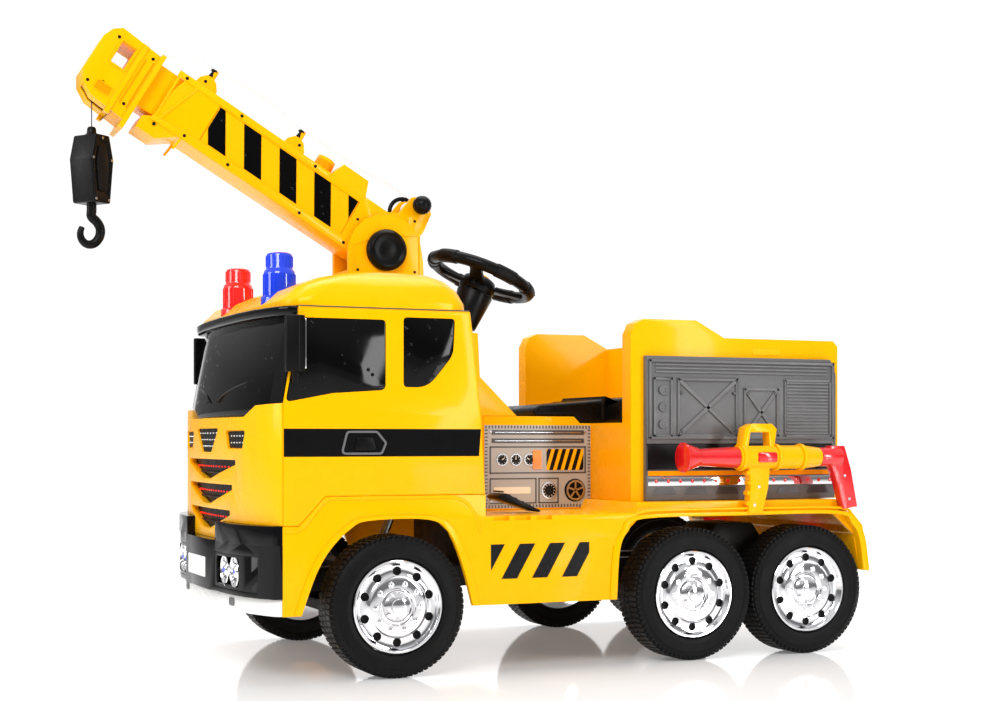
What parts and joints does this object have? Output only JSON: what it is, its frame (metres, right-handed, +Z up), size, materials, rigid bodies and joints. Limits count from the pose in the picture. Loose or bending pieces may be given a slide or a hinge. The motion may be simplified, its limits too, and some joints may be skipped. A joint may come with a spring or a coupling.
{
  "type": "ride-on crane truck",
  "caption": "Child-size ride-on toy crane truck with a cab, straddle seat, rear box, slewing telescopic boom, hoist line with hook, and a toy water blaster.",
  "frame": {"origin": "bottom centre of the whole truck, on the ground", "axes": "-X towards the nose of the truck, +Y towards its right side, +Z up"},
  "size_m": [1.3792, 0.6526, 1.0641],
  "materials": {
    "yellow_plastic": "glossy moulded yellow plastic",
    "black_plastic": "satin black plastic",
    "black_gloss": "glossy black plastic",
    "grey_plastic": "dark grey moulded plastic",
    "white_plastic": "white plastic",
    "red_plastic": "glossy red plastic",
    "red_lens": "translucent red lens",
    "blue_lens": "translucent blue lens",
    "clear_lens": "clear lens over chrome reflectors",
    "tyre_plastic": "matt black tyre",
    "chromed_plastic": "bright chrome plated plastic",
    "steel": "plain steel rod",
    "line_cord": "thin dark cord",
    "battery_case": "sealed battery case"
  },
  "bodies": {
    "truck": {"lower_body": "yellow_plastic", "cab_shell": "yellow_plastic", "front_fascia": "yellow_plastic", "roof": "yellow_plastic", "console": "yellow_plastic", "seat_box": "yellow_plastic", "rear_box": "yellow_plastic", "chassis_frame": "black_plastic", "drive_unit": "black_plastic", "grille_insert": "black_plastic", "bumper": "black_plastic", "mirror_left": "black_plastic", "mirror_right": "black_plastic", "column_cover": "black_plastic", "seat": "black_plastic", "windscreen": "black_gloss", "sun_visor": "black_gloss", "side_panel_left": "grey_plastic", "side_panel_right": "grey_plastic", "lower_valance": "white_plastic", "beacon_right": "red_lens", "tail_lamp_left": "red_lens", "tail_lamp_right": "red_lens", "beacon_left": "blue_lens", "headlight_left": "clear_lens", "headlight_right": "clear_lens", "mid_axle": "steel", "rear_axle": "steel", "battery": "battery_case"},
    "steering": {"steering_wheel": "black_plastic", "steering_shaft": "steel"},
    "knuckle_left": {"knuckle_left": "steel"},
    "knuckle_right": {"knuckle_right": "steel"},
    "tie_rod": {"tie_rod": "steel"},
    "pedal": {"pedal": "black_plastic"},
    "blaster": {"blaster_body": "yellow_plastic", "blaster_barrel": "red_plastic"},
    "blaster_pump": {"blaster_pump": "red_plastic"},
    "turret": {"turret": "yellow_plastic", "pivot_pin": "black_plastic"},
    "outer_boom": {"outer_boom": "yellow_plastic"},
    "inner_boom": {"inner_boom": "yellow_plastic"},
    "winch": {"winch": "black_plastic"},
    "line_guide": {"line_guide": "black_plastic"},
    "line": {"hoist_line": "line_cord"},
    "hook_block": {"hook_block": "black_plastic"},
    "hook": {"hook": "black_plastic"},
    "wheel_front_left": {"tyre_front_left": "tyre_plastic", "hub_front_left": "chromed_plastic"},
    "wheel_front_right": {"tyre_front_right": "tyre_plastic", "hub_front_right": "chromed_plastic"},
    "wheel_mid_left": {"tyre_mid_left": "tyre_plastic", "hub_mid_left": "chromed_plastic"},
    "wheel_mid_right": {"tyre_mid_right": "tyre_plastic", "hub_mid_right": "chromed_plastic"},
    "wheel_rear_left": {"tyre_rear_left": "tyre_plastic", "hub_rear_left": "chromed_plastic"},
    "wheel_rear_right": {"tyre_rear_right": "tyre_plastic", "hub_rear_right": "chromed_plastic"}
  },
  "joints": [
    {"name": "steering_turn", "type": "hinge", "parent": "truck", "child": "steering", "pos_m": [0.0496, 0, 0.682], "axis": [0.3746, 0, 0.9272], "range_deg": [-40, 40]},
    {"name": "knuckle_left_turn", "type": "hinge", "parent": "truck", "child": "knuckle_left", "pos_m": [-0.2204, -0.2, 0.115], "axis": [0, 0, 1], "range_deg": [-18.5, 18.5]},
    {"name": "knuckle_right_turn", "type": "hinge", "parent": "truck", "child": "knuckle_right", "pos_m": [-0.2204, 0.2, 0.115], "axis": [0, 0, 1], "range_deg": [-18.5, 18.5]},
    {"name": "tie_rod_shift", "type": "slide", "parent": "truck", "child": "tie_rod", "axis": [0, 1, 0], "range_m": [-0.013, 0.013]},
    {"name": "pedal_press", "type": "hinge", "parent": "truck", "child": "pedal", "pos_m": [0.0656, -0.198, 0.259], "axis": [0, 1, 0], "range_deg": [-12, 0], "stiffness_Nm_per_rad": 1, "springref_deg": 8.59},
    {"name": "blaster_lift_off", "type": "slide", "parent": "truck", "child": "blaster", "axis": [0, -1, 0], "range_m": [0, 0.08]},
    {"name": "blaster_pump_pull", "type": "slide", "parent": "blaster", "child": "blaster_pump", "axis": [1, 0, 0], "range_m": [0, 0.06]},
    {"name": "turret_slew", "type": "hinge", "parent": "truck", "child": "turret", "pos_m": [-0.1524, 0, 0.664], "axis": [0, 0, 1], "range_deg": [-90, 90]},
    {"name": "boom_luff", "type": "hinge", "parent": "turret", "child": "outer_boom", "pos_m": [-0.1524, 0, 0.716], "axis": [0, 1, 0], "range_deg": [-25, 20]},
    {"name": "boom_extend", "type": "slide", "parent": "outer_boom", "child": "inner_boom", "axis": [-0.8599, 0, 0.5105], "range_m": [0, 0.18]},
    {"name": "winch_turn", "type": "hinge", "parent": "outer_boom", "child": "winch", "pos_m": [-0.08726, 0, 0.79828], "axis": [0, 1, 0], "range_deg": [-2875, 4]},
    {"name": "line_level", "type": "hinge", "parent": "inner_boom", "child": "line_guide", "pos_m": [-0.64149, 0, 0.97151], "axis": [0, 1, 0], "range_deg": [-21, 26]},
    {"name": "line_swing", "type": "hinge", "parent": "line_guide", "child": "line", "pos_m": [-0.6534, 0, 0.97], "axis": [1, 0, 0], "range_deg": [-6, 6]},
    {"name": "hook_lift", "type": "slide", "parent": "line", "child": "hook_block", "axis": [0, 0, 1], "range_m": [-0.6, 0], "deforming": ["hoist_line"]},
    {"name": "hook_swivel", "type": "hinge", "parent": "hook_block", "child": "hook", "pos_m": [-0.6534, 0, 0.76], "axis": [0, 0, 1], "continuous": true},
    {"name": "front_left_spin", "type": "hinge", "parent": "knuckle_left", "child": "wheel_front_left", "pos_m": [-0.2204, -0.268, 0.115], "axis": [0, 1, 0], "continuous": true},
    {"name": "front_right_spin", "type": "hinge", "parent": "knuckle_right", "child": "wheel_front_right", "pos_m": [-0.2204, 0.268, 0.115], "axis": [0, 1, 0], "continuous": true},
    {"name": "mid_left_spin", "type": "hinge", "parent": "truck", "child": "wheel_mid_left", "pos_m": [0.3236, -0.268, 0.115], "axis": [0, 1, 0], "continuous": true},
    {"name": "mid_right_spin", "type": "hinge", "parent": "truck", "child": "wheel_mid_right", "pos_m": [0.3236, 0.268, 0.115], "axis": [0, 1, 0], "continuous": true},
    {"name": "rear_left_spin", "type": "hinge", "parent": "truck", "child": "wheel_rear_left", "pos_m": [0.5576, -0.268, 0.115], "axis": [0, 1, 0], "continuous": true},
    {"name": "rear_right_spin", "type": "hinge", "parent": "truck", "child": "wheel_rear_right", "pos_m": [0.5576, 0.268, 0.115], "axis": [0, 1, 0], "continuous": true}
  ],
  "couplings": [
    {"joint": "knuckle_left_turn", "follows": "steering_turn", "ratio": 0.45},
    {"joint": "knuckle_right_turn", "follows": "steering_turn", "ratio": 0.45},
    {"joint": "tie_rod_shift", "follows": "steering_turn", "m_per_rad": 0.018},
    {"joint": "line_level", "follows": "boom_luff", "ratio": -1},
    {"joint": "winch_turn", "follows": "hook_lift", "rad_per_m": 83.333}
  ]
}
